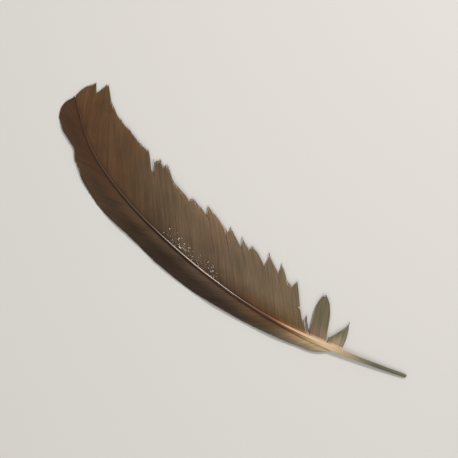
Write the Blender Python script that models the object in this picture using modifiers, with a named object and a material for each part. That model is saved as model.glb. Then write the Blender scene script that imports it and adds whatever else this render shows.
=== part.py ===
"""A wing feather of a turkey, lying with its upper side up.

The quill runs along +X in a slow curve.  The narrow leading vane grows on its +Y side and the
wide, torn trailing vane on its -Y side.  Three loose tufts stand on the bare end of the
trailing side.  Stations, lengths, widths and heights are in millimetres, angles in degrees.
"""
import math

import bmesh
import bpy
import numpy as np

MM = 0.001
COLLECTION = "turkey_wing_feather"

# The shaft: its length, where its root lies, and its heading from +X at stations along it.
SHAFT_LENGTH = 330.0
SHAFT_ROOT = (-160.1, -15.8)
SHAFT_HEADING = [(0, 21), (40, 18.5), (92, 13), (148, 3.5), (231, -6.5), (280, -19),
                 (307, -33), (330, -37)]
SHAFT_HEIGHT = [(0, 1.17), (30, 2.3), (60, 3.2), (110, 4.4), (165, 5.0), (230, 4.6),
                (290, 2.9), (330, 1.0)]
QUILL_WIDTH = [(0, 1.8), (1, 2.2), (3, 2.5), (14, 2.9), (33, 3.4), (50, 4.0), (66, 4.2),
               (83, 3.7), (99, 2.9), (115, 2.3), (133, 2.0), (181, 1.7), (231, 1.25),
               (280, 0.85), (330, 0.4)]
QUILL_SIDES = 16
QUILL_STEP = 6.0
CALAMUS_END = 55.0        # the round, bare part ends here
SQUARE_RACHIS = 0.72      # power that turns the round section into a squarish one
GROOVE_DEPTH = 0.3        # of the half depth, along the underside of the rachis
UMBILICUS_DEPTH = 1.2     # the small hollow in the root end

GAP = 0.3                 # clear distance between the quill and each vane
VANE_THICKNESS = 0.6
STATION_STEP = 4.5        # widest spacing of the stations along a vane

# The angle a barb leaves the shaft at, and how fast it turns away from it, per millimetre.
TRAILING_ANGLE = [(78, 49), (90, 50), (115, 48), (150, 44), (200, 39), (250, 36), (300, 29),
                  (330, 15)]
TRAILING_BEND = [(78, 0.42), (88, 0.08), (115, -0.12), (150, -0.15), (200, -0.08), (265, 0.0),
                 (330, 0.17)]
LEADING_ANGLE = [(44, 48), (80, 38), (150, 31), (230, 28), (300, 24), (330, 16)]
LEADING_BEND = [(44, -0.2), (330, -0.14)]

# Barb lengths.  The leading margin is smooth; the trailing one is torn into teeth.
LEADING_LENGTH = [(56.5, 3.4), (58.5, 9), (61, 12), (69, 14), (78, 16.5), (91, 19.5),
                  (105, 23), (120, 26.5), (135, 31.5), (154, 35.5), (170, 37.5), (186, 36.5),
                  (202, 38), (214, 40.5), (230, 39.5), (242, 37.5), (260, 30.5), (274, 24),
                  (285, 26.5), (289, 30.5), (293, 31.5), (299, 29), (309, 21.5), (321, 9.5),
                  (329.5, 1.5)]
TRAILING_LENGTH = [
    (79.2, 16), (79.6, 40), (83, 36), (86, 37), (87, 46),               # square inner corner
    (88, 50), (91, 42), (93, 49), (94.5, 55), (101.5, 43),              # two pointed teeth
    (103, 50), (108, 54), (111.5, 50), (114, 52), (115.5, 57),
    (119, 48), (120.5, 48.5), (122.5, 55), (124.5, 60), (129, 53),
    (138, 62), (144.5, 64.5), (148.5, 53), (151, 55), (152.5, 58),      # long leaning tooth
    (157.5, 57.5), (159.5, 59.5), (166, 56), (180, 59.5), (181, 72),    # frayed block
    (188, 65.5), (189, 70), (195, 64), (202.5, 51.5), (203.2, 53.5),    # narrow slot
    (203.8, 66), (218, 63.5), (228, 63), (248, 59.5), (258, 62),
    (262, 70), (270, 64), (296.5, 36), (301.5, 38.5), (316, 21),        # split at the tip
    (327, 5), (329.5, 1.5)]

# The smooth width each vane had before it was torn; the droop of the vane follows it.
LEADING_SPAN = [(44, 12), (80, 20), (150, 36), (220, 40), (280, 32), (330, 16)]
TRAILING_SPAN = [(44, 36), (90, 50), (150, 62), (200, 68), (262, 66), (300, 42), (330, 16)]
LEADING_MARGIN_HEIGHT = [(44, 1.6), (90, 1.2), (150, 0.75), (230, 0.7), (300, 0.9), (330, 0.8)]
TRAILING_MARGIN_HEIGHT = [(44, 1.9), (90, 1.4), (150, 0.85), (210, 0.65), (270, 0.85), (330, 0.8)]
DROOP_POWER = 1.6
WAVE_HEIGHT = 0.3         # the vanes lie in slow waves across their barbs
WAVE_SPACING = 41.0

# Loose tufts: angle and bend at the two end stations, then barb lengths.
POINTED_TUFT = dict(angle=[(51, 100), (63, 84)], bend=[(51, -1.2), (63, -1.2)],
                    length=[(51.6, 22.5), (52.4, 20.5), (53.8, 17.5), (56.5, 13.5),
                            (59.5, 9.5), (62.8, 6)])
ROUNDED_TUFT = dict(angle=[(63, 76), (77, 76)], bend=[(63, 0.0), (77, 0.0)],
                    length=[(63.5, 17), (63.8, 23), (65.3, 29.5), (67.5, 32.8), (69.5, 34),
                            (71.3, 33.8), (73.2, 31.5), (75.4, 26), (76.5, 20), (76.8, 13)])
LOOSE_TUFT = dict(angle=[(77.2, 68), (78.7, 54)], bend=[(77.2, 0.0), (78.7, 0.0)],
                  length=[(77.3, 6), (77.7, 13), (78.1, 9), (78.4, 10.5), (78.7, 6)])


def smooth(keys, s):
    """Value at station s of a smooth curve through the (station, value) keys."""
    x, y = np.array(keys, float).T
    slope = np.gradient(y, x) if len(x) > 2 else np.full(2, (y[1] - y[0]) / (x[1] - x[0]))
    i = np.clip(np.searchsorted(x, s) - 1, 0, len(x) - 2)
    h = x[i + 1] - x[i]
    t = np.clip((s - x[i]) / h, 0.0, 1.0)
    return ((2 * t ** 3 - 3 * t ** 2 + 1) * y[i] + (t ** 3 - 2 * t ** 2 + t) * h * slope[i]
            + (3 * t ** 2 - 2 * t ** 3) * y[i + 1] + (t ** 3 - t ** 2) * h * slope[i + 1])


def straight(keys, s):
    """Value at station s of straight lines through the (station, value) keys."""
    x, y = np.array(keys, float).T
    return np.interp(s, x, y)


# The centre line of the shaft, walked in half-millimetre steps along its heading.
STATIONS = np.arange(0.0, SHAFT_LENGTH + 0.01, 0.5)
HEADINGS = np.radians(smooth(SHAFT_HEADING, STATIONS))
MIDDLES = (HEADINGS[1:] + HEADINGS[:-1]) / 2
LINE_X = SHAFT_ROOT[0] + np.append(0.0, np.cumsum(np.cos(MIDDLES))) * 0.5
LINE_Y = SHAFT_ROOT[1] + np.append(0.0, np.cumsum(np.sin(MIDDLES))) * 0.5


def shaft_at(s):
    """Place, heading and height of the shaft at station s."""
    return (np.interp(s, STATIONS, LINE_X), np.interp(s, STATIONS, LINE_Y),
            np.interp(s, STATIONS, HEADINGS), smooth(SHAFT_HEIGHT, s))


def vane_height(side, s, d):
    """Height of a vane's middle, d along the barb from station s."""
    span = smooth(LEADING_SPAN if side > 0 else TRAILING_SPAN, s)
    margin = smooth(LEADING_MARGIN_HEIGHT if side > 0 else TRAILING_MARGIN_HEIGHT, s)
    out = min(d / span, 1.1)
    wave = WAVE_HEIGHT * math.sin(2 * math.pi * (s + 0.4 * d) / WAVE_SPACING) * min(out, 1.0)
    root = smooth(SHAFT_HEIGHT, s)
    return root + (margin - root) * out ** DROOP_POWER + wave


def barb_point(side, s, d, angle, bend):
    """Point d along the barb that leaves station s; each barb is a shallow arc."""
    x, y, heading, _ = shaft_at(s)
    turn = math.radians(smooth(bend, s)) * d / 2
    h = heading + side * (math.radians(smooth(angle, s)) + turn)
    chord = d * (math.sin(turn) / turn if abs(turn) > 1e-6 else 1.0)
    return (x + chord * math.cos(h), y + chord * math.sin(h), vane_height(side, s, d))


def material(name, colour, roughness):
    mat = bpy.data.materials.new(name)
    mat.use_nodes = True
    shader = mat.node_tree.nodes["Principled BSDF"]
    shader.inputs["Base Color"].default_value = (*colour, 1.0)
    shader.inputs["Roughness"].default_value = roughness
    shader.inputs["Metallic"].default_value = 0.0
    return mat


def add_object(name, bm, mat, smooth_faces):
    bmesh.ops.recalc_face_normals(bm, faces=bm.faces[:])
    for face in bm.faces:
        face.smooth = smooth_faces
    mesh = bpy.data.meshes.new(name)
    bm.to_mesh(mesh)
    bm.free()
    mesh.materials.append(mat)
    obj = bpy.data.objects.new(name, mesh)
    bpy.data.collections[COLLECTION].objects.link(obj)
    return obj


def quill_ring(s, count):
    """Points of the quill's section at station s."""
    x, y, heading, z = shaft_at(s)
    half = smooth(QUILL_WIDTH, s) / 2
    rachis = min(max((s - CALAMUS_END + 10) / 20, 0.0), 1.0)
    power = 1.0 + (SQUARE_RACHIS - 1.0) * rachis
    points = []
    for k in range(count):
        a = 2 * math.pi * k / count
        across = math.copysign(abs(math.cos(a)) ** power, math.cos(a)) * half
        up = math.copysign(abs(math.sin(a)) ** power, math.sin(a)) * half
        if math.sin(a) < -0.99:
            up += GROOVE_DEPTH * half * rachis
        points.append((x - math.sin(heading) * across, y + math.cos(heading) * across, z + up))
    return points


def build_quill(mat):
    """Extrude one ring along the shaft, then close both ends."""
    stops = [0, 0.5, 1.5, 3, 6] + list(np.arange(12, SHAFT_LENGTH, QUILL_STEP)) + [SHAFT_LENGTH]
    bm = bmesh.new()
    ring = bmesh.ops.create_circle(bm, segments=QUILL_SIDES, radius=1.0)["verts"]
    first = list(bm.edges)
    edges = first
    for i, s in enumerate(stops):
        if i:
            new = bmesh.ops.extrude_edge_only(bm, edges=edges)["geom"]
            step = {v for v in new if isinstance(v, bmesh.types.BMVert)}
            before = {v: n for n, v in enumerate(ring)}
            fresh = [None] * len(ring)
            for v in step:
                for e in v.link_edges:
                    other = e.other_vert(v)
                    if other in before:
                        fresh[before[other]] = v
            ring = fresh
            edges = [e for e in new if isinstance(e, bmesh.types.BMEdge)]
        for v, point in zip(ring, quill_ring(s, QUILL_SIDES)):
            v.co = [c * MM for c in point]
    bmesh.ops.contextual_create(bm, geom=edges)
    root = bmesh.ops.contextual_create(bm, geom=first)["faces"]
    bmesh.ops.inset_region(bm, faces=root, thickness=0.45 * MM)
    heading = HEADINGS[0]
    inward = (math.cos(heading) * UMBILICUS_DEPTH * MM, math.sin(heading) * UMBILICUS_DEPTH * MM, 0)
    bmesh.ops.translate(bm, verts=root[0].verts[:], vec=inward)
    return add_object("quill", bm, mat, True)


def build_vane(name, side, length, angle, bend, mat, across, even):
    """A grid of stations by distance, laid along the barbs and thickened."""
    stops = []
    for (a, _), (b, _) in zip(length, length[1:]):
        parts = max(1, math.ceil((b - a) / STATION_STEP))
        stops += [a + (b - a) * k / parts for k in range(parts)]
    stops.append(length[-1][0])
    reach = straight if not even else smooth
    bm = bmesh.new()
    bmesh.ops.create_grid(bm, x_segments=len(stops) - 1, y_segments=across, size=0.5)
    for v in bm.verts:
        s = stops[round((v.co.x + 0.5) * (len(stops) - 1))]
        start = (smooth(QUILL_WIDTH, s) / 2 + GAP) / math.sin(math.radians(smooth(angle, s)))
        full = max(reach(length, s), start + 0.6)
        d = start + (full - start) * (v.co.y + 0.5)
        v.co = [c * MM for c in barb_point(side, s, d, angle, bend)]
    obj = add_object(name, bm, mat, True)
    thick = obj.modifiers.new("thickness", "SOLIDIFY")
    thick.thickness = VANE_THICKNESS * MM
    thick.offset = 0.0
    return obj


def build():
    for old in list(bpy.data.objects):
        bpy.data.objects.remove(old, do_unlink=True)
    group = bpy.data.collections.new(COLLECTION)
    bpy.context.scene.collection.children.link(group)

    horn = material("horn", (0.55, 0.42, 0.26), 0.35)
    brown = material("brown_vane", (0.16, 0.10, 0.06), 0.7)
    dark = material("dark_vane", (0.11, 0.07, 0.045), 0.7)
    pale = material("pale_down", (0.30, 0.26, 0.17), 0.8)

    build_quill(horn)
    build_vane("leading_vane", 1, LEADING_LENGTH, LEADING_ANGLE, LEADING_BEND, dark, 4, True)
    build_vane("trailing_vane", -1, TRAILING_LENGTH, TRAILING_ANGLE, TRAILING_BEND, brown, 6,
               False)
    for name, tuft in (("pointed_tuft", POINTED_TUFT), ("rounded_tuft", ROUNDED_TUFT),
                       ("loose_tuft", LOOSE_TUFT)):
        build_vane(name, -1, tuft["length"], tuft["angle"], tuft["bend"], pale, 6, False)


build()
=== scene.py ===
# %% [markdown]
# # A turkey wing feather, lying with its upper side up
#
# A wing feather is one shaft with two rows of barbs.  The bare root of the shaft is a round tube;
# further out it turns squarish and the barbs leave it on both sides, hooked to each other into two
# flat vanes.  This script lays about eleven hundred single barbs where a measured model of the
# feather says the vanes are, and gives them the brown of the real one.
#
# Lengths are in millimetres and angles in degrees until a mesh is written, which is in metres.

# %% Load the measured model
import math

import bmesh
import bpy
import numpy as np
from mathutils import Matrix
from mathutils.bvhtree import BVHTree


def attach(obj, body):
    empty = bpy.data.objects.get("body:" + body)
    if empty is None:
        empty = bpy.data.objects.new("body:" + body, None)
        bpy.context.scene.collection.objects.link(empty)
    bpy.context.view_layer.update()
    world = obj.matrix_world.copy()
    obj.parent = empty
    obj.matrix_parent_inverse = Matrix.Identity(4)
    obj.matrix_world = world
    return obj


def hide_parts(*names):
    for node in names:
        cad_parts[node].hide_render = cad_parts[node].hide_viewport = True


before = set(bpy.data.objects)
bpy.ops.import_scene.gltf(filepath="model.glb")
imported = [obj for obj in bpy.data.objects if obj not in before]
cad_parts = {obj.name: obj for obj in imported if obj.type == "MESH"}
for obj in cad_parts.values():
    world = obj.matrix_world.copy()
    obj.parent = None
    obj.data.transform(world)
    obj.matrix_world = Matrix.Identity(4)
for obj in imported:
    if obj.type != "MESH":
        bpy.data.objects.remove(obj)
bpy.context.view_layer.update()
MM = 0.001
print("nodes:", sorted(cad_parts))

# %% [markdown]
# ## The camera and the light
#
# The feather lies flat, so the camera looks straight down on it.  A long lens keeps the far end
# from shrinking.  The camera is rolled so that the feather climbs to the upper left.
#
# The main lamp stands on the side of the wide vane and square to the middle of the shaft, so that
# the rounded horn mirrors it to the camera and draws the thin bright line along the shaft, which a
# painted highlight in the horn's colour widens.  A large weak lamp opposite and a pale sky fill
# the shadows.  Lamps are placed in metres.

# %% Camera, floor and lamps
VIEW_WIDTH = 335.9
VIEW_CENTRE = (8.6, -15.0)
VIEW_ROLL = -140.0
LENS = 100.0
SENSOR = 36.0
FLOOR_DROP = 0.1          # the floor lies this far under the feather
FLOOR_HALF = 2.0          # half the floor's width, in metres


def add_camera():
    data = bpy.data.cameras.new("camera")
    data.lens = LENS
    data.sensor_width = SENSOR
    data.clip_end = 10.0
    camera = bpy.data.objects.new("camera", data)
    height = VIEW_WIDTH * LENS / SENSOR
    camera.location = (VIEW_CENTRE[0] * MM, VIEW_CENTRE[1] * MM, height * MM)
    camera.rotation_euler = (0.0, 0.0, math.radians(VIEW_ROLL))
    bpy.context.scene.collection.objects.link(camera)
    bpy.context.scene.camera = camera
    return height


def add_lamp(name, place, size, power, colour):
    """A round lamp that faces the middle of the feather."""
    data = bpy.data.lights.new(name, "AREA")
    data.shape = "DISK"
    data.size = size
    data.energy = power
    data.color = colour
    lamp = bpy.data.objects.new(name, data)
    lamp.location = place
    turn = math.atan2(place[1], place[0])
    tilt = math.atan2(math.hypot(place[0], place[1]), place[2])
    lamp.rotation_euler = (0.0, tilt, turn)
    bpy.context.scene.collection.objects.link(lamp)


def add_floor():
    bm = bmesh.new()
    bmesh.ops.create_grid(bm, x_segments=1, y_segments=1, size=FLOOR_HALF)
    bmesh.ops.translate(bm, verts=bm.verts[:], vec=(0, 0, -FLOOR_DROP * MM))
    mesh = bpy.data.meshes.new("floor")
    bm.to_mesh(mesh)
    bm.free()
    floor = bpy.data.objects.new("floor", mesh)
    bpy.context.scene.collection.objects.link(floor)
    mat = bpy.data.materials.new("pale floor")
    mat.use_nodes = True
    shader = mat.node_tree.nodes["Principled BSDF"]
    shader.inputs["Base Color"].default_value = (0.74, 0.73, 0.71, 1.0)
    shader.inputs["Roughness"].default_value = 0.9
    mesh.materials.append(mat)


def set_world(strength):
    world = bpy.data.worlds.new("studio")
    world.use_nodes = True
    background = world.node_tree.nodes["Background"]
    background.inputs["Color"].default_value = (1.0, 0.985, 0.96, 1.0)
    background.inputs["Strength"].default_value = strength
    bpy.context.scene.world = world


camera_height = add_camera()
add_lamp("main lamp", place=(0.02, -0.96, 1.15), size=0.28, power=12.0, colour=(1.0, 0.96, 0.91))
add_lamp("weak lamp", place=(-0.5, 0.9, 1.3), size=1.2, power=6.5, colour=(1.0, 0.98, 0.95))
add_floor()
set_world(strength=0.38)
bpy.context.scene.view_settings.view_transform = "Standard"
print("camera", round(camera_height), "mm above the floor")

# %% [markdown]
# ## The curve of the shaft
#
# Everything on a feather is placed along its shaft: a *station* is a distance along it from the
# root.  The shaft is walked in small steps along its changing heading, which is easier to bend to
# the real curve than a spline.  The keys are the model's own.  As a test, the next cell measures
# how far this line runs under the skin of the model's quill: it should be half the quill's width.

# %% Shaft line
SHAFT_LENGTH = 330.0
SHAFT_ROOT = (-160.1, -15.8)
SHAFT_HEADING = [(0, 21), (40, 18.5), (92, 13), (148, 3.5), (231, -6.5), (280, -19),
                 (307, -33), (330, -37)]
SHAFT_HEIGHT = [(0, 1.17), (30, 2.3), (60, 3.2), (110, 4.4), (165, 5.0), (230, 4.6),
                (290, 2.9), (330, 1.0)]


def smooth(keys, s):
    """Values at stations s of a smooth curve through the (station, value) keys."""
    x, y = np.array(keys, float).T
    slope = np.gradient(y, x) if len(x) > 2 else np.full(2, (y[1] - y[0]) / (x[1] - x[0]))
    i = np.clip(np.searchsorted(x, s) - 1, 0, len(x) - 2)
    h = x[i + 1] - x[i]
    t = np.clip((s - x[i]) / h, 0.0, 1.0)
    return ((2 * t ** 3 - 3 * t ** 2 + 1) * y[i] + (t ** 3 - 2 * t ** 2 + t) * h * slope[i]
            + (3 * t ** 2 - 2 * t ** 3) * y[i + 1] + (t ** 3 - t ** 2) * h * slope[i + 1])


SHAFT_STEP = 0.5
STATIONS = np.arange(0.0, SHAFT_LENGTH + 0.01, SHAFT_STEP)
HEADINGS = np.radians(smooth(SHAFT_HEADING, STATIONS))
MIDDLES = (HEADINGS[1:] + HEADINGS[:-1]) / 2
LINE_X = SHAFT_ROOT[0] + np.append(0.0, np.cumsum(np.cos(MIDDLES))) * SHAFT_STEP
LINE_Y = SHAFT_ROOT[1] + np.append(0.0, np.cumsum(np.sin(MIDDLES))) * SHAFT_STEP


def shaft_at(s):
    """Place, heading and height of the shaft at stations s."""
    return (np.interp(s, STATIONS, LINE_X), np.interp(s, STATIONS, LINE_Y),
            np.interp(s, STATIONS, HEADINGS), smooth(SHAFT_HEIGHT, s))


def node_tree(node):
    """A search tree over a node of the model, in millimetres."""
    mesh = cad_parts[node].data
    points = [v.co / MM for v in mesh.vertices]
    return BVHTree.FromPolygons(points, [tuple(p.vertices) for p in mesh.polygons])


quill_tree = node_tree("quill")
offsets = [quill_tree.find_nearest((x, y, z))[3]
           for x, y, _, z in (shaft_at(s) for s in range(10, 320, 10))]
print("shaft line to the quill's surface:", round(min(offsets), 2), "to",
      round(max(offsets), 2), "mm")

# %% [markdown]
# ## A straight bar to bend
#
# The shaft and every barb start as the same thing: a straight closed bar along Z with rings at
# even steps.  A cone with two equal radii makes the bar, and bisecting it gives the rings.  The
# bar is then bent by moving its points, which keeps its faces and its ends closed.

# %% Straight bar and copies of it
COPY_OFFSET = 3.0         # any distance that keeps bars of radius 1 apart, until they are bent


def straight_bar(sides, pieces):
    """A closed bar of radius 1 from z = 0 to z = 1, cut into equal pieces."""
    bm = bmesh.new()
    bmesh.ops.create_cone(bm, cap_ends=True, cap_tris=False, segments=sides, radius1=1.0,
                          radius2=1.0, depth=1.0, matrix=Matrix.Translation((0, 0, 0.5)))
    for k in range(1, pieces):
        bmesh.ops.bisect_plane(bm, geom=bm.verts[:] + bm.edges[:] + bm.faces[:],
                               plane_co=(0, 0, k / pieces), plane_no=(0, 0, 1))
    return bm


def bar_object(name, bm):
    mesh = bpy.data.meshes.new(name)
    bm.to_mesh(mesh)
    bm.free()
    bar = bpy.data.objects.new(name, mesh)
    bpy.context.scene.collection.objects.link(bar)
    return bar


def copies(bar, count):
    """The same bar many times over in one mesh, from an Array modifier that is applied."""
    array = bar.modifiers.new("copies", "ARRAY")
    array.count = count
    array.use_relative_offset = False
    array.use_constant_offset = True
    array.constant_offset_displace = (COPY_OFFSET, 0.0, 0.0)
    shown = bar.evaluated_get(bpy.context.evaluated_depsgraph_get())
    many = bpy.data.meshes.new_from_object(shown)
    bar.modifiers.clear()
    bar.data = many
    return bar


def points_of(mesh):
    flat = np.empty(len(mesh.vertices) * 3)
    mesh.vertices.foreach_get("co", flat)
    return flat.reshape(-1, 3)


def place_points(mesh, points):
    """Write points given in millimetres, and shade the mesh round."""
    mesh.vertices.foreach_set("co", (points * MM).ravel())
    mesh.shade_smooth()
    mesh.update()


def write_attribute(mesh, name, values):
    """Store three values a point, for the materials to read."""
    layer = mesh.attributes.new(name, "FLOAT_VECTOR", "POINT")
    layer.data.foreach_set("vector", np.ascontiguousarray(values, float).ravel())


# %% [markdown]
# ## The shaft
#
# The root of the shaft, the calamus, is a smooth round tube with a small hollow in its end where
# the feather drew its blood.  From the first barbs on it is the rachis: squarish, with a groove
# along its underside.  A power less than one on the circle's sine and cosine squares the section
# off gradually, and the lowest points are raised for the groove.

# %% Bend a bar into the shaft
QUILL_WIDTH = [(0, 1.8), (1, 2.2), (3, 2.5), (14, 2.9), (33, 3.4), (50, 4.0), (66, 4.2),
               (83, 3.7), (99, 2.9), (115, 2.3), (133, 2.0), (181, 1.7), (231, 1.25),
               (280, 0.85), (330, 0.4)]
CALAMUS_END = 55.0        # the round tube is halfway to squarish here
SQUARING = 20.0           # and turns squarish over this length
SQUARENESS = 0.72
GROOVE = 0.3              # depth of the groove, of half the shaft's width
GROOVE_SPAN = 0.2         # the lowest part of the section, which the groove takes up
UMBILICUS_DEPTH = 1.2     # the hollow in the root's end
UMBILICUS_RIM = 0.4       # and the wall round it, of the root's radius
SHAFT_SIDES = 24
SHAFT_RINGS = 220
ROOT_CROWDING = 1.25      # over one: the rings of the shaft stand closer towards its root


def quill_points(s, angle):
    """Points of the shaft's skin at stations s, at angles round its section."""
    x, y, heading, z = shaft_at(s)
    half = smooth(QUILL_WIDTH, s) / 2
    rachis = np.clip((s - CALAMUS_END + SQUARING / 2) / SQUARING, 0.0, 1.0)
    power = 1.0 + (SQUARENESS - 1.0) * rachis
    across = np.sign(np.cos(angle)) * np.abs(np.cos(angle)) ** power * half
    up = np.sign(np.sin(angle)) * np.abs(np.sin(angle)) ** power * half
    under = np.clip(-np.sin(angle) - (1 - GROOVE_SPAN), 0.0, GROOVE_SPAN) / GROOVE_SPAN
    up = up + GROOVE * half * rachis * under
    return np.stack([x - np.sin(heading) * across, y + np.cos(heading) * across, z + up], 1)


def build_shaft():
    bm = straight_bar(SHAFT_SIDES, SHAFT_RINGS)
    root = [f for f in bm.faces if len(f.verts) > 4 and f.calc_center_median().z < 0.5]
    bmesh.ops.inset_region(bm, faces=root, thickness=UMBILICUS_RIM)
    bm.verts.index_update()
    pit = [v.index for v in root[0].verts]
    shaft = bar_object("shaft", bm)
    bar = points_of(shaft.data)
    radius = np.hypot(bar[:, 0], bar[:, 1])
    angle = np.arctan2(bar[:, 1], bar[:, 0])
    s = np.clip(bar[:, 2], 0, 1) ** ROOT_CROWDING * SHAFT_LENGTH
    points = quill_points(s, angle)
    middle = np.stack([*shaft_at(s)[:2], shaft_at(s)[3]], 1)
    points = middle + (points - middle) * radius[:, None]
    heading = HEADINGS[0]
    points[pit] += UMBILICUS_DEPTH * np.array([math.cos(heading), math.sin(heading), 0.0])
    place_points(shaft.data, points)
    write_attribute(shaft.data, "section",
                    np.stack([np.cos(angle), np.sin(angle), s / SHAFT_LENGTH], 1))
    return shaft


shaft = build_shaft()
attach(shaft, "root")
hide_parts("quill")
print("shaft:", len(shaft.data.polygons), "faces")

# %% [markdown]
# ## Where a barb runs
#
# A barb leaves the shaft at an angle that gets sharper towards the tip, and bends a little on its
# way out, so its path is a shallow arc.  The vane that the barbs make is highest at the shaft and
# droops to the margins, which lie close over the table, with slow waves in it.
#
# Side 1 is the narrow, leading vane and side -1 the wide, trailing one.  Angles are given by
# station, and so is the bend, in degrees for each millimetre that a barb runs.

# %% Paths of the barbs
TRAILING = dict(
    side=-1,
    angle=[(78, 49), (90, 54), (102, 57), (115, 55), (150, 50), (200, 45), (250, 39), (300, 29),
           (330, 15)],
    bend=[(78, 0.42), (90, 0.12), (115, -0.12), (150, -0.15), (200, -0.08), (265, 0.0),
          (330, 0.17)])
LEADING = dict(
    side=1,
    angle=[(44, 48), (80, 38), (150, 31), (230, 28), (300, 24), (330, 16)],
    bend=[(44, -0.2), (330, -0.14)])
POINTED = dict(side=-1, angle=[(51, 100), (63, 84)], bend=[(51, -1.2), (63, -1.2)])
ROUNDED = dict(side=-1, angle=[(63, 76), (77, 76)], bend=[(63, 0.0), (77, 0.0)])
LOOSE = dict(side=-1, angle=[(77.2, 68), (78.7, 55)], bend=[(77.2, 0.0), (78.7, 0.0)])

# By side and station: how far out the droop runs, and how high the margin lies.
SPAN = {1: [(44, 12), (80, 20), (150, 36), (220, 40), (280, 32), (330, 16)],
        -1: [(44, 36), (90, 50), (150, 62), (200, 68), (262, 66), (300, 42), (330, 16)]}
MARGIN_HEIGHT = {
    1: [(44, 1.6), (90, 1.2), (150, 0.75), (230, 0.7), (300, 0.9), (330, 0.8)],
    -1: [(44, 1.9), (90, 1.4), (150, 0.85), (210, 0.65), (270, 0.85), (330, 0.8)]}
DROOP_POWER = 1.6
PAST_SPAN = 1.1           # a barb droops on this far past the vane's span, and no further
WAVE_HEIGHT = 0.3
WAVE_SPACING = 41.0
WAVE_SLANT = 0.4          # the waves run out slantwise, as the barbs do


def vane_height(side, s, d):
    """Height over the table at stations s, d along the barbs."""
    out = np.minimum(d / smooth(SPAN[side], s), PAST_SPAN)
    turns = (s + WAVE_SLANT * d) / WAVE_SPACING
    wave = WAVE_HEIGHT * np.sin(2 * np.pi * turns) * np.minimum(out, 1.0)
    root = smooth(SHAFT_HEIGHT, s)
    return root + (smooth(MARGIN_HEIGHT[side], s) - root) * out ** DROOP_POWER + wave


def barb_points(vane, s, d):
    """Points d along the barbs that leave stations s."""
    x, y, heading, _ = shaft_at(s)
    turn = np.radians(smooth(vane["bend"], s)) * d / 2
    h = heading + vane["side"] * (np.radians(smooth(vane["angle"], s)) + turn)
    chord = d * np.sinc(turn / np.pi)
    return np.stack([x + chord * np.cos(h), y + chord * np.sin(h),
                     vane_height(vane["side"], s, d)], -1)


for name, vane in (("wide", TRAILING), ("narrow", LEADING)):
    print("barbs of the", name, "vane leave the shaft at", vane["angle"][0][1], "degrees near the",
          "root and", vane["angle"][-1][1], "at the tip")

# %% [markdown]
# ## How long each barb is
#
# The torn margin is already in the model, so the barbs are cut to it.  From each station a path
# is walked outwards, dropping a ray on the model's vane at every step, until several rays miss.
#
# The model rounds the deepest tear to a wedge.  On the feather it is a slot where barbs are
# missing, with whole ones beside it, so two stretches of the margin are set anew.  So are a few
# stations at the feet of the tufts, where short barbs close the gaps, and the point of the loose
# tuft.

# %% Measure the margin
WALK_STEP = 0.25
WALK_FROM = 3.0           # the walk starts clear of the shaft
MISSES_ALLOWED = 3        # a gap of so many steps is a notch in the margin, and not its end
RAY_HEIGHT = 50.0


def margin_of(node, vane, first, last, longest):
    """Stations along the shaft, and how far the vane reaches along the barb from each."""
    tree = node_tree(node)
    stations = np.arange(first, last + 0.01, WALK_STEP)
    steps = np.arange(WALK_FROM, longest, WALK_STEP)
    reach = []
    for s in stations:
        path = barb_points(vane, np.full(len(steps), s), steps)
        misses, end = 0, 0.0
        for d, (x, y, _) in zip(steps, path):
            if tree.ray_cast((x, y, RAY_HEIGHT), (0, 0, -1))[0] is None:
                misses += 1
            else:
                misses, end = 0, d
            if misses > MISSES_ALLOWED:
                break
        reach.append(end)
    return stations, np.array(reach)


margins = {
    "trailing_vane": margin_of("trailing_vane", TRAILING, 78.5, 329.5, 80.0),
    "leading_vane": margin_of("leading_vane", LEADING, 56.5, 329.5, 50.0),
    "pointed_tuft": margin_of("pointed_tuft", POINTED, 51.6, 63.2, 26.0),
    "rounded_tuft": margin_of("rounded_tuft", ROUNDED, 63.2, 76.9, 38.0),
    "loose_tuft": margin_of("loose_tuft", LOOSE, 76.6, 78.7, 16.0)}

# Stretches that are set anew: the node, the stations from and to, and the barbs' length.
SET_ANEW = [("trailing_vane", 206.0, 210.2, 56.0), ("trailing_vane", 210.2, 214.4, 43.5),
            ("trailing_vane", 78.4, 78.8, 4.5), ("trailing_vane", 78.8, 79.2, 6.5),
            ("pointed_tuft", 62.8, 63.3, 6.5), ("rounded_tuft", 63.1, 63.5, 6.0),
            ("loose_tuft", 76.5, 77.2, 4.5), ("loose_tuft", 77.7, 78.5, 15.0)]
for node, low, high, length in SET_ANEW:
    stations, reach = margins[node]
    reach[(stations >= low) & (stations < high)] = length
for node, (stations, reach) in margins.items():
    print(node, "longest barb", round(reach.max(), 1), "mm at station",
          round(stations[reach.argmax()], 1))

# %% [markdown]
# ## How barbs lean together
#
# A torn vane falls into clumps, and the barbs of a clump lean together: its edges follow the
# barbs and it ends in a point.  The tears are listed by the station they start from, and the
# barbs between two tears are one clump.  Further out, the barbs of a clump that no longer fit are
# pressed inwards, in order and never across each other, until it fits inside the margin.

# %% Clumps of a torn vane
TEARS = {"trailing_vane": [85.0, 97.1, 109.2, 119.2, 126.4, 137.7, 157.0, 175.4, 199.0, 210.2,
                           214.4, 254.0, 296.5]}
LEAN_REACH = 4.0          # a barb this far from a taller part of its clump still leans to it
LEAN_STEP = 0.5           # the table of pressed stations has a column for every step outwards
CLOSEST = 0.25            # how tightly leaning barbs pack, of their spacing at the shaft


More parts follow.
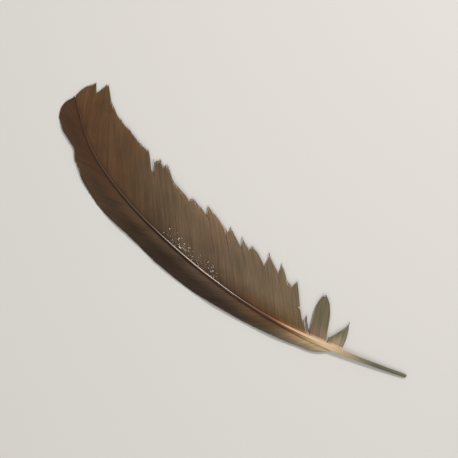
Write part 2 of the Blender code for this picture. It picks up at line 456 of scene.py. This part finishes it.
def lean(tears, stations, reach, roots, rng, ragged):
    """Barb lengths, and a table of where each barb's station is pressed to, by distance."""
    ends = [stations[0]] + tears + [stations[-1] + 0.01]
    distances = np.arange(0.0, reach.max() + 4 * LEAN_STEP, LEAN_STEP)
    pressed = np.repeat(roots[:, None], len(distances), axis=1)
    length = np.empty(len(roots))
    for low, high in zip(ends, ends[1:]):
        mine = np.flatnonzero((roots >= low) & (roots < high))
        if not len(mine):
            continue
        inside = (stations >= low) & (stations < high)
        own_s, own_reach = stations[inside], reach[inside]
        for k in mine:
            length[k] = own_reach[np.abs(own_s - roots[k]) <= LEAN_REACH].max()
        length[mine] -= np.abs(rng.normal(0.0, ragged, len(mine)))
        gap = np.gradient(roots)[mine].mean() * CLOSEST
        for j, d in enumerate(distances):
            if j:
                pressed[mine, j] = pressed[mine, j - 1]
            room = own_s[own_reach >= d]
            alive = mine[length[mine] >= d - LEAN_STEP]
            if len(room) and len(alive):
                order = np.arange(len(alive))
                tight = min(gap, (room[-1] - room[0]) / len(alive))
                upper = room[-1] - (len(alive) - 1 - order) * tight
                pressed[alive, j] = np.maximum(np.minimum(roots[alive], upper),
                                               room[0] + order * tight)
    return length, distances, pressed


for node, tears in TEARS.items():
    print(node, "reach at its tears:", np.round(np.interp(tears, *margins[node]), 1))

# %% [markdown]
# ## A row of straight barbs
#
# One straight barb is a slim bar with six sides: a ridge above, a keel below, and a thin web out
# to each side, which stands for the hooked barbules.  An Array makes the row of them.  Barbs grow
# an even distance apart, measured square to them, so where they leave the shaft at a sharp angle
# their roots stand further apart along it.

# %% Roots and bars
BARB_SECTION = [(0, 1.0), (-0.28, 0.25), (-1, 0), (0, -0.7), (1, 0), (0.28, 0.25)]
RING_CROWDING = 1.3       # over one: the rings of a barb stand closer towards its tip
ROOT_INSET = 0.15         # the first and last roots stand this far inside their row
WIDEST_STEP = 1.1         # roots stand no further apart than this
UNEVEN = (0.85, 1.15)     # and that unevenly


def barb_roots(vane, first, last, across, rng):
    """Stations where barbs leave the shaft, about an even distance apart across the barbs."""
    roots = [first + ROOT_INSET]
    while roots[-1] < last - ROOT_INSET:
        angle = math.radians(float(smooth(vane["angle"], roots[-1])))
        step = min(across / math.sin(angle), WIDEST_STEP)
        roots.append(roots[-1] + step * rng.uniform(*UNEVEN))
    return np.array(roots[:-1])


def row_of_bars(name, count, pieces):
    """The straight bars, and for each point of one bar its ring, side and lift.

    The rings' places come with them: 0 at the barb's root and 1 at its tip.
    """
    bar = bar_object(name, straight_bar(len(BARB_SECTION), pieces))
    shape = points_of(bar.data)
    ring = np.rint(shape[:, 2] * pieces).astype(int)
    ring_places = 1.0 - (1.0 - np.arange(pieces + 1) / pieces) ** RING_CROWDING
    corner = np.round((np.degrees(np.arctan2(shape[:, 1], shape[:, 0])) - 90) / 60) % 6
    side_of, lift_of = np.array(BARB_SECTION)[corner.astype(int)].T
    return copies(bar, count), ring, ring_places, side_of, lift_of


some_roots = barb_roots(TRAILING, 100.0, 300.0, 0.33, np.random.default_rng(1))
print("roots in the wide vane stand", round(some_roots[1] - some_roots[0], 2), "mm apart near the",
      "root and", round(some_roots[-1] - some_roots[-2], 2), "mm apart near the tip")

# %% [markdown]
# ## Fine splits, cracks and other wear
#
# Small clumps of barbs lean together over their last stretch, so that the margin has fine splits
# in it.  Larger wear is listed by where it is: cracks that open between the clumps, a nick in the
# edge nearest the root, and a frayed stretch beside the slot, where the small clumps are narrow,
# drawn tightly together and of uneven length.

# %% Small clumps and wear
CLUMP_WIDTHS = (0.45, 1.7)    # small clumps differ in width between these, of the width given
SPLIT_DEPTH = 13.0        # how far in the fine splits between small clumps reach
EVEN = {"trailing_vane": (212.0, 235.0, 0.25)}  # the splits are slighter from here to there on
FRAYED = {"trailing_vane": (192.0, 210.2)}
FRAY_WIDTH = 2.6          # the small clumps there
FRAY_DRAW = 0.75
FRAY_DEPTH = 6.0
FRAY_LOSS = 2.0           # the barbs there are up to this much shorter

# Cracks: their station, where along the barbs they start and are widest, and half their width.
CRACKS = {"trailing_vane": [(141.0, 25.0, 49.0, 0.6), (109.0, 32.0, 41.0, 0.5),
                            (97.2, 28.0, 38.0, 0.4), (157.2, 45.0, 53.0, 0.4)]}
CRACK_CURVE = 0.6         # under one: a crack opens quickly at its inner end
CRACK_GIVE = 2.5          # it pushes barbs aside for about this far along the shaft

# A nick in the edge nearest the root: its place along the barbs, half its width, and its depth.
NICKS = {"trailing_vane": (21.0, 0.9, 3.2)}


def small_clumps(roots, width, draw_in, rng):
    """For each barb its small clump's middle, how much the clump draws in, and its number."""
    bounds = [roots[0] - 0.5]
    while bounds[-1] < roots[-1]:
        bounds.append(bounds[-1] + width * rng.uniform(*CLUMP_WIDTHS))
    bounds = np.array(bounds)
    number = np.searchsorted(bounds, roots) - 1
    middle = (bounds[number] + bounds[number + 1]) / 2
    draw = rng.uniform(0.1 * draw_in, draw_in, len(bounds))[number]
    return middle, draw, number


def split_margin(node, roots, length, clump, draw_in, rng):
    """The small clumps of a row, and how deep the splits between them reach.

    Barbs of a frayed stretch are shortened.
    """
    middle, draw, number = small_clumps(roots, clump, draw_in, rng)
    depth = np.full(len(roots), SPLIT_DEPTH)
    if node in EVEN:
        low, high, slight = EVEN[node]
        draw *= np.interp(roots, (low, high), (1.0, slight))
    if node in FRAYED:
        low, high = FRAYED[node]
        frayed = (roots > low) & (roots < high)
        middle[frayed], _, tuft = small_clumps(roots[frayed], FRAY_WIDTH, 0.0, rng)
        length[frayed] -= rng.uniform(0.0, FRAY_LOSS, tuft.max() + 1)[tuft]
        draw[frayed] = FRAY_DRAW
        depth[frayed] = FRAY_DEPTH
    return middle, draw, number, depth


def gather_rings(node, roots, rings):
    """Bring three rings of each barb beside a nick to its two ends and its deepest point."""
    if node in NICKS:
        place, half, deep = NICKS[node]
        for k in np.flatnonzero(roots - roots[0] < 2 * deep):
            nearest = np.abs(rings[k] - place).argmin()
            rings[k, nearest - 1:nearest + 2] = place - half, place, place + half


def push_aside(node, roots, station, d):
    """Open the cracks and the nick: move the stations of the points beside them."""
    for crack, inner, outer, opening in CRACKS.get(node, []):
        aside = np.sign(roots - crack) * np.exp(-np.abs(roots - crack) / CRACK_GIVE)
        open_here = np.clip((d - inner) / (outer - inner), 0, 1) ** CRACK_CURVE
        station += aside[:, None] * opening * open_here
    if node in NICKS:
        place, half, deep = NICKS[node]
        beside = np.exp(-(roots - roots[0]) / deep)[:, None]
        station += deep * beside * np.clip(1.0 - np.abs(d - place) / half, 0.0, 1.0)


print("wear: the slot,", len(CRACKS["trailing_vane"]), "cracks,", len(NICKS), "nick and",
      round(FRAYED["trailing_vane"][1] - FRAYED["trailing_vane"][0], 1), "mm of frayed margin")

# %% [markdown]
# ## Laying the barbs
#
# Each straight bar is bent on to its own path: the web reaches to the next barb and overlaps it
# like a roof tile, and narrows at the tip.  Where the barbs of a clump are pressed together, the
# webs narrow with them.  Barbs and small clumps lie at slightly different heights, so that light
# finds their edges.
#
# Two sets of values are stored on the points for the materials: where a point lies on its barb,
# and how light the barb is, how far the point is from the shaft, and on which side of its ridge.

# %% A row of bent barbs
RIDGE = 0.17              # height of the ridge over the web, at the shaft
SLIMMER = 0.6             # the ridge loses this part of its height towards the tip
WEB_TILT = 0.035
OVERLAP = 0.62            # half width of a web, of the spacing between barbs
TIGHTEST = 0.35           # pressed barbs keep this part of a web's width
WEB_TAPER = 2.2           # the web narrows over this much of the tip
WEB_END = 0.12            # and no closer to the tip than this part of that
INSIDE_SHAFT = 0.78       # a barb starts this far from the middle of the shaft to its side
SHORTEST = 0.8            # a barb is at least this long
CLUMP_LIFT = 0.09         # small clumps differ in height by about this
BARB_LIFT = 0.02          # and barbs by this
SHADE_SPREAD = 0.5        # and both in shade by this
SPLIT_CURVE = 1.5         # over one: small clumps draw in mostly at their tips
WEB_CURVE = 0.7           # under one: the web keeps its width until near the tip
DISTANCE_UNIT = 80.0      # lengths are stored as parts of these
LEFT_UNIT = 20.0
FLANK_UNIT = 4.0


def press(roots, d, distances, pressed):
    """The station of each point after the lean, and how tightly its barbs are pressed there."""
    station = np.empty_like(d)
    ratio = np.empty_like(d)
    for k in range(len(roots)):
        station[k] = np.interp(d[k], distances, pressed[k])
        lower, upper = max(k - 1, 0), min(k + 1, len(roots) - 1)
        spread = np.interp(d[k], distances, pressed[upper] - pressed[lower])
        ratio[k] = np.clip(spread / (roots[upper] - roots[lower]), TIGHTEST, 1.0)
    return station, ratio


def lay_barbs(name, vane, node, across, pieces, seed, ragged=0.25, clump=5.0, draw_in=0.2,
              wisp=1.0):
    """One vane or tuft: a mesh with a bent bar for every barb, in place of the model's node."""
    rng = np.random.default_rng(seed)
    stations, reach = margins[node]
    roots = barb_roots(vane, stations[0], stations[-1], across, rng)
    length, distances, pressed = lean(TEARS.get(node, []), stations, reach, roots, rng, ragged)
    length += wisp
    middle, draw, number, depth = split_margin(node, roots, length, clump, draw_in, rng)
    bar, ring, ring_places, side_of, lift_of = row_of_bars(name, len(roots), pieces)

    half_quill = smooth(QUILL_WIDTH, roots) / 2
    lean_angle = np.radians(smooth(vane["angle"], roots))
    start = INSIDE_SHAFT * half_quill / np.sin(lean_angle)
    length = np.maximum(length, start + SHORTEST)
    rings = start[:, None] + (length - start)[:, None] * ring_places[None, :]
    gather_rings(node, roots, rings)
    d = rings[:, ring]
    left = length[:, None] - d

    station, ratio = press(roots, d, distances, pressed)
    near_tip = np.clip(1.0 - left / depth[:, None], 0.0, 1.0) ** SPLIT_CURVE
    station -= (roots - middle)[:, None] * draw[:, None] * near_tip
    push_aside(node, roots, station, d)
    spacing = np.gradient(roots)[:, None]
    web = np.clip(left / WEB_TAPER, WEB_END, 1.0) ** WEB_CURVE
    station += side_of[None, :] * OVERLAP * spacing * ratio * web

    points = barb_points(vane, station, d)
    slim = 1.0 - SLIMMER * ring_places[ring][None, :]
    raised = RIDGE * lift_of[None, :] * slim
    tile = WEB_TILT * side_of
    clump_lift = rng.normal(0.0, CLUMP_LIFT, number.max() + 1)[number]
    barb_lift = rng.normal(0.0, BARB_LIFT, len(roots))
    points[..., 2] += (raised + tile[None, :]
                       + (clump_lift[:, None] * near_tip + barb_lift[:, None]))
    place_points(bar.data, points.reshape(-1, 3))

    clump_shade = rng.normal(0.0, SHADE_SPREAD, number.max() + 1)[number]
    shade = clump_shade + rng.normal(0.0, SHADE_SPREAD, len(roots))
    flank = d * np.sin(lean_angle)[:, None] - half_quill[:, None]
    root_station = np.broadcast_to(roots[:, None] / SHAFT_LENGTH, d.shape)
    lay = [root_station, d / DISTANCE_UNIT, np.clip(left / LEFT_UNIT, 0, 1)]
    mark = [np.broadcast_to(shade[:, None], d.shape), flank / FLANK_UNIT,
            np.broadcast_to(side_of, d.shape)]
    write_attribute(bar.data, "lay", np.stack(lay, -1).reshape(-1, 3))
    write_attribute(bar.data, "mark", np.stack(mark, -1).reshape(-1, 3))
    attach(bar, "root")
    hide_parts(node)
    print(name, len(roots), "barbs,", len(bar.data.polygons), "faces")
    return bar


trailing = lay_barbs("trailing_barbs", TRAILING, "trailing_vane", across=0.33, pieces=12, seed=11)
leading = lay_barbs("leading_barbs", LEADING, "leading_vane", across=0.27, pieces=9, seed=12,
                    ragged=0.1, clump=7.0, draw_in=0.03, wisp=0.2)
pointed = lay_barbs("pointed_tuft_barbs", POINTED, "pointed_tuft", across=0.30, pieces=12, seed=13,
                    draw_in=0.08)
rounded = lay_barbs("rounded_tuft_barbs", ROUNDED, "rounded_tuft", across=0.33, pieces=12, seed=14,
                    ragged=0.3, draw_in=0.05)
loose = lay_barbs("loose_tuft_barbs", LOOSE, "loose_tuft", across=0.16, pieces=9, seed=15,
                  ragged=1.0, draw_in=0.0, wisp=1.5)

# %% [markdown]
# ## The colours
#
# A barb's colour depends on where it is, so the materials read the stations and distances that
# were stored on the points.  They are built from a few kinds of node, again and again: a ramp, a
# blend of two colours, a noise, and a smooth step from one value to another.  Short names for
# these keep the finishes readable.

# %% Helpers for materials


def tone(red, green, blue, gain=1.0):
    """A colour given as 0 to 255 display values, as the linear colour a shader wants."""
    def linear(v):
        v = v / 255
        return v / 12.92 if v <= 0.04045 else ((v + 0.055) / 1.055) ** 2.4
    return (linear(red) * gain, linear(green) * gain, linear(blue) * gain, 1.0)


class Finish:
    """A material being built, with short names for its nodes."""

    def __init__(self, name):
        self.mat = bpy.data.materials.new(name)
        self.mat.use_nodes = True
        self.tree = self.mat.node_tree
        self.shader = self.tree.nodes["Principled BSDF"]

    def feed(self, socket, value):
        if isinstance(value, bpy.types.NodeSocket):
            self.tree.links.new(value, socket)
        else:
            socket.default_value = value

    def node(self, kind, **settings):
        made = self.tree.nodes.new(kind)
        for key, value in settings.items():
            setattr(made, key, value)
        return made

    def parts(self, attribute):
        """The three values of a stored attribute, each as a socket."""
        read = self.node("ShaderNodeAttribute", attribute_name=attribute)
        split = self.node("ShaderNodeSeparateXYZ")
        self.feed(split.inputs[0], read.outputs["Vector"])
        return split.outputs[0], split.outputs[1], split.outputs[2]

    def math(self, operation, a, b=0.0):
        made = self.node("ShaderNodeMath", operation=operation)
        self.feed(made.inputs[0], a)
        self.feed(made.inputs[1], b)
        return made.outputs[0]

    def range(self, value, low, high, to_low=0.0, to_high=1.0):
        made = self.node("ShaderNodeMapRange", interpolation_type="SMOOTHSTEP")
        self.feed(made.inputs["Value"], value)
        for key, number in (("From Min", low), ("From Max", high), ("To Min", to_low),
                            ("To Max", to_high)):
            made.inputs[key].default_value = number
        return made.outputs["Result"]

    def ramp(self, factor, stops):
        made = self.node("ShaderNodeValToRGB")
        self.feed(made.inputs[0], factor)
        elements = made.color_ramp.elements
        while len(elements) < len(stops):
            elements.new(0.5)
        for element, (place, colour) in zip(elements, stops):
            element.position = place
            element.color = colour
        return made.outputs[0]

    def blend(self, factor, a, b, mode="MIX"):
        made = self.node("ShaderNodeMix", data_type="RGBA", blend_type=mode)
        self.feed(made.inputs["Factor"], factor)
        self.feed(made.inputs["A"], a)
        self.feed(made.inputs["B"], b)
        return made.outputs["Result"]

    def noise(self, vector, scale, detail=3.0):
        made = self.node("ShaderNodeTexNoise")
        self.feed(made.inputs["Vector"], vector)
        made.inputs["Scale"].default_value = scale
        made.inputs["Detail"].default_value = detail
        return made.outputs[0]

    def vector(self, x, y, z=0.0):
        made = self.node("ShaderNodeCombineXYZ")
        for socket, value in zip(made.inputs, (x, y, z)):
            self.feed(socket, value)
        return made.outputs[0]

    def lighten(self, colour, amount):
        """Multiply a colour by a number."""
        made = self.node("ShaderNodeVectorMath", operation="SCALE")
        self.feed(made.inputs[0], colour)
        self.feed(made.inputs["Scale"], amount)
        return made.outputs[0]

    def bump(self, height, distance, strength):
        made = self.node("ShaderNodeBump")
        self.feed(made.inputs["Height"], height)
        made.inputs["Distance"].default_value = distance
        made.inputs["Strength"].default_value = strength
        return made.outputs[0]


tip_brown = tone(93, 66, 41)
print("the brown of the tip as a linear colour:", [round(v, 3) for v in tip_brown[:3]])

# %% [markdown]
# ## Polished specks
#
# Beside the middle of the shaft some barbs are worn smooth and glitter.  Each speck is a cell of
# a pattern that is finer along the shaft than out along the barbs.  It is a polished flat with a
# slope of its own, around the slope that mirrors the main lamp to someone above, so that some
# specks catch the lamp and others don't.

# %% Specks
SPECKS_ALONG = 560.0      # cells in the length of the shaft
SPECKS_OUT = 90.0         # cells in a stored unit of distance along a barb
SPECK_FADE = 0.04         # the zone fades over this part of the shaft at its ends
SPECK_ZONE = 2.4          # and it ends this far from the shaft, in stored units of flank
SPECK_POLISH = 0.12
SPECK_SPREAD = (0.5, 0.5, 0.0)
SPECK_SLOPE = (-0.25, -0.62, 1.0)


def add_glints(f, station, distance, flank, normal, roughness, low, high):
    """Strew specks from one part of the shaft to another, and give back the new normal."""
    cells = f.node("ShaderNodeTexVoronoi", voronoi_dimensions="2D")
    f.feed(cells.inputs["Vector"], f.vector(f.math("MULTIPLY", station, SPECKS_ALONG),
                                            f.math("MULTIPLY", distance, SPECKS_OUT)))
    cells.inputs["Scale"].default_value = 1.0
    chance = f.node("ShaderNodeSeparateXYZ")
    f.feed(chance.inputs[0], cells.outputs["Color"])
    zone = f.math("MULTIPLY", f.range(station, low - SPECK_FADE, low),
                  f.range(station, high + SPECK_FADE, high))
    zone = f.math("MULTIPLY", zone, f.range(flank, SPECK_ZONE, 0.4))
    speck = f.math("MULTIPLY", f.range(cells.outputs["Distance"], 0.55, 0.4),
                   f.math("GREATER_THAN", zone, chance.outputs[2]))
    slope = f.node("ShaderNodeVectorMath", operation="MULTIPLY_ADD")
    f.feed(slope.inputs[0], cells.outputs["Color"])
    slope.inputs[1].default_value = SPECK_SPREAD
    slope.inputs[2].default_value = SPECK_SLOPE
    f.feed(f.shader.inputs["Roughness"], f.range(speck, 0.2, 0.8, roughness, SPECK_POLISH))
    flat = f.node("ShaderNodeMix", data_type="VECTOR")
    f.feed(flat.inputs["Factor"], speck)
    f.feed(flat.inputs["A"], normal)
    f.feed(flat.inputs["B"], slope.outputs[0])
    unit = f.node("ShaderNodeVectorMath", operation="NORMALIZE")
    f.feed(unit.inputs[0], flat.outputs["Result"])
    return unit.outputs[0]


print("a speck is about", round(SHAFT_LENGTH / SPECKS_ALONG, 2), "mm along the shaft and",
      round(DISTANCE_UNIT / SPECKS_OUT, 2), "mm along a barb")

# %% [markdown]
# ## The finish of a barb
#
# Four ramps along the shaft give the colours of a vane: where the barbs leave the shaft, beside
# it, out in the vane, and at the margin.  They run from the greenish grey of the root to the warm
# brown of the tip.  Streaks are a noise stretched along the barbs, each barb is a shade lighter or
# darker than the next, and the webs are darker than the ridge between them.

# %% Finish of the barbs
BARB_GAIN = 1.5           # the slopes of ridge and web darken a barb, so its colours are raised
STREAKS_OUT = 3.0         # how finely the streaks change along a barb: hardly
SHADE_STEP = 0.09         # a stored shade of 1 makes a barb this much lighter
BARBULES = 9.0            # about so many hooked barbules in a millimetre of a barb


def barb_finish(name, root, inner, middle, margin, fade=(0.5, 3.5), roughness=0.55,
                glints=None):
    """Colours of a row of barbs: (station, colour) ramps from the shaft to the margin."""
    f = Finish(name)
    station, distance, left = f.parts("lay")
    shade, flank, web = f.parts("mark")

    def along(stops):
        return f.ramp(station, [(s / SHAFT_LENGTH, tone(*c, BARB_GAIN)) for s, c in stops])

    colour = f.blend(f.range(flank, 0.05, 0.5), along(root), along(inner))
    colour = f.blend(f.range(flank, *fade), colour, along(middle))
    colour = f.blend(f.range(left, 0.8, 0.05), colour, along(margin))
    place = f.node("ShaderNodeTexCoord").outputs["Object"]
    patches = f.range(f.noise(place, 90.0, 2.0), 0.4, 0.7, 0.0, 0.35)
    colour = f.blend(patches, colour, f.blend(1.0, colour, (1.12, 0.93, 0.86, 1.0), "MULTIPLY"))
    lanes = f.vector(f.math("MULTIPLY", station, SHAFT_LENGTH),
                     f.math("MULTIPLY", distance, STREAKS_OUT))
    streaks = f.range(f.noise(lanes, 0.9), 0.3, 0.7, 0.83, 1.17)
    broad = f.range(f.noise(place, 45.0, 2.0), 0.35, 0.65, 0.93, 1.07)
    fine = f.math("MULTIPLY_ADD", shade, SHADE_STEP)
    fine.node.inputs[2].default_value = 1.0
    ridge = f.range(f.math("ABSOLUTE", web), 0.3, 1.0, 1.08, 0.82)
    strength = f.math("MULTIPLY", f.math("MULTIPLY", streaks, fine),
                      f.math("MULTIPLY", broad, ridge))
    f.feed(f.shader.inputs["Base Color"], f.lighten(colour, strength))
    f.shader.inputs["Specular IOR Level"].default_value = 0.2
    f.shader.inputs["Sheen Weight"].default_value = 0.04
    f.shader.inputs["Sheen Roughness"].default_value = 0.5
    f.shader.inputs["Sheen Tint"].default_value = (0.8, 0.55, 0.35, 1.0)
    f.shader.inputs["Roughness"].default_value = roughness
    barbules = f.vector(f.math("MULTIPLY", distance, DISTANCE_UNIT), web)
    normal = f.bump(f.noise(barbules, BARBULES, 1.0), 0.00004, 0.5)
    if glints:
        normal = add_glints(f, station, distance, flank, normal, roughness, *glints)
    f.feed(f.shader.inputs["Normal"], normal)
    print(name, "finish:", len(f.tree.nodes), "nodes")
    return f.mat


# %% Colours of the wide vane
trailing.data.materials.append(barb_finish(
    "trailing barbs",
    [(80, (178, 138, 96)), (92, (166, 114, 70)), (106, (128, 82, 50)), (125, (88, 62, 42)),
     (180, (80, 62, 46)), (330, (84, 58, 38))],
    [(80, (112, 94, 68)), (96, (106, 84, 60)), (115, (94, 72, 50)), (160, (81, 66, 53)),
     (190, (93, 79, 62)), (212, (84, 67, 51)), (260, (90, 66, 46)), (330, (90, 63, 41))],
    [(80, (112, 97, 76)), (105, (112, 97, 77)), (160, (101, 85, 68)), (205, (95, 78, 60)),
     (235, (88, 69, 48)), (280, (90, 66, 46)), (330, (92, 65, 41))],
    [(80, (110, 96, 75)), (130, (115, 97, 74)), (165, (116, 97, 72)), (195, (99, 82, 58)),
     (240, (92, 69, 46)), (285, (97, 77, 46)), (330, (93, 68, 44))],
    glints=(0.487, 0.59)))

# %% Colours of the narrow vane
leading.data.materials.append(barb_finish(
    "leading barbs",
    # The roots are dark from about station 170 on: painted shade of the shaft on the narrow vane.
    # Their pale stops up to station 80 are partly painted light against the shaft's shadow.
    [(50, (232, 220, 188)), (66, (228, 206, 168)), (80, (186, 146, 104)), (94, (116, 80, 52)),
     (106, (88, 62, 40)), (130, (76, 54, 37)), (160, (66, 50, 38)), (178, (42, 30, 20)),
     (200, (40, 28, 18)), (260, (52, 36, 24)), (330, (66, 44, 28))],
    # The pale stops up to about station 78 are partly the cream of the root and partly painted
    # light that lifts the shaft's shadow.
    [(50, (222, 208, 176)), (66, (206, 190, 156)), (78, (172, 150, 118)), (88, (126, 104, 80)),
     (100, (97, 74, 50)), (130, (86, 67, 50)), (165, (82, 67, 56)), (220, (84, 66, 48)),
     (280, (73, 50, 33)), (330, (76, 50, 32))],
    [(50, (170, 156, 126)), (66, (124, 112, 89)), (75, (90, 82, 66)), (88, (92, 82, 64)),
     (100, (67, 53, 40)), (130, (52, 41, 33)), (190, (52, 41, 30)), (210, (55, 43, 31)),
     (228, (67, 52, 39)), (260, (67, 49, 36)), (330, (62, 43, 28))],
    [(50, (164, 150, 122)), (72, (108, 98, 79)), (90, (80, 72, 57)), (110, (52, 43, 33)),
     (140, (46, 38, 32)), (190, (55, 43, 31)), (230, (74, 58, 43)), (330, (70, 48, 32))],
    fade=(0.4, 2.4)))

# %% Colours of the tufts
down = barb_finish(
    "pale down",
    [(50, (205, 186, 152)), (66, (216, 196, 168)), (78, (204, 178, 148))],
    [(50, (106, 108, 94)), (57, (150, 138, 116)), (72, (122, 104, 88))],
    [(50, (108, 106, 88)), (62, (108, 99, 76)), (72, (104, 96, 75))],
    [(50, (102, 102, 85)), (62, (104, 97, 76)), (72, (96, 89, 69))],
    roughness=0.7)
for piece in (pointed, rounded, loose):
    piece.data.materials.append(down)

# %% [markdown]
# ## The horn
#
# The shaft is bare horn: greenish at the root, cream and then amber where the first barbs grow,
# and brown further out.  Its side towards the narrow vane is painted darker than its top from
# about station 100 on, as painted shade away from the main lamp, and a dark painted shade line
# runs along the top beside it nearer the root.  Beyond the first third a stretch of the top is
# painted pale, as a painted highlight, and it is polished, which makes the bright line under the
# lamp.

# %% Horn of the shaft


def horn_finish():
    """Colours along the top of the shaft, with a painted highlight, down its side, with painted
    shade, and at the foot of the wide vane.
    """
    f = Finish("horn")
    across, up, station = f.parts("section")

    def along(stops):
        return f.ramp(station, [(s / SHAFT_LENGTH, tone(*c)) for s, c in stops])

    # The top's pale stops from about station 118 to 192 are partly a painted highlight.
    top_and_painted_highlight = along([(0, (104, 101, 78)), (12, (84, 88, 58)), (24, (74, 82, 50)),
                 (36, (109, 108, 78)), (52, (188, 164, 132)), (66, (216, 186, 146)),
                 (82, (218, 186, 150)), (93, (202, 164, 122)), (104, (138, 92, 54)),
                 (118, (148, 98, 54)), (135, (158, 120, 86)), (152, (190, 168, 148)),
                 (192, (156, 137, 116)), (215, (96, 69, 48)), (260, (86, 56, 36)),
                 (330, (98, 66, 38))])
    # The side is dark brown from about station 100 on: painted shade, away from the main lamp.
    side = along([(0, (96, 92, 68)), (24, (92, 90, 64)), (48, (192, 170, 134)),
                  (60, (224, 200, 160)), (76, (204, 168, 124)), (90, (120, 82, 52)),
                  (105, (64, 38, 20)), (125, (42, 24, 12)), (200, (34, 20, 11)),
                  (280, (52, 34, 22)), (330, (68, 46, 29))])
    amber = along([(0, (96, 93, 68)), (24, (92, 92, 64)), (48, (190, 168, 130)),
                   (60, (236, 216, 180)), (74, (230, 206, 170)), (84, (196, 152, 108)),
                   (100, (130, 86, 50)), (125, (84, 56, 37)), (330, (80, 55, 36))])
    # From about station 100 to 170 the painted shade of the side reaches further across the top.
    middle = f.math("MULTIPLY", f.range(station, 0.3, 0.34), f.range(station, 0.52, 0.46))
    painted_shade_edge = f.math("MULTIPLY_ADD", middle, 0.42)
    f.feed(painted_shade_edge.node.inputs[2], across)
    colour = f.blend(f.range(painted_shade_edge, 0.04, 0.24), top_and_painted_highlight, side)
    colour = f.blend(f.range(across, -0.6, -0.85), colour, amber)
    # A dark painted shade line along the top's half towards the narrow vane, stations 63 to 132.
    line = f.math("MULTIPLY", f.range(across, 0.0, 0.1), f.range(across, 0.34, 0.2))
    line = f.math("MULTIPLY", line, f.range(station, 0.19, 0.27))
    line = f.math("MULTIPLY", line, f.range(station, 0.4, 0.33))
    colour = f.blend(line, colour, tone(70, 38, 20))
    grain = f.vector(f.math("MULTIPLY", across, 3.0), f.math("MULTIPLY", up, 3.0),
                     f.math("MULTIPLY", station, 12.0))
    streaks = f.range(f.noise(grain, 2.0), 0.3, 0.7, 0.9, 1.1)
    f.feed(f.shader.inputs["Base Color"], f.lighten(colour, streaks))
    polish = f.math("MULTIPLY", f.range(station, 0.37, 0.45), f.range(station, 0.72, 0.6))
    f.feed(f.shader.inputs["Roughness"], f.range(polish, 0.0, 1.0, 0.55, 0.21))
    f.shader.inputs["Specular IOR Level"].default_value = 0.55
    f.feed(f.shader.inputs["Normal"], f.bump(f.noise(grain, 3.0), 0.00003, 0.3))
    return f.mat


shaft.data.materials.append(horn_finish())
print("horn finish:", len(shaft.data.materials[0].node_tree.nodes), "nodes")
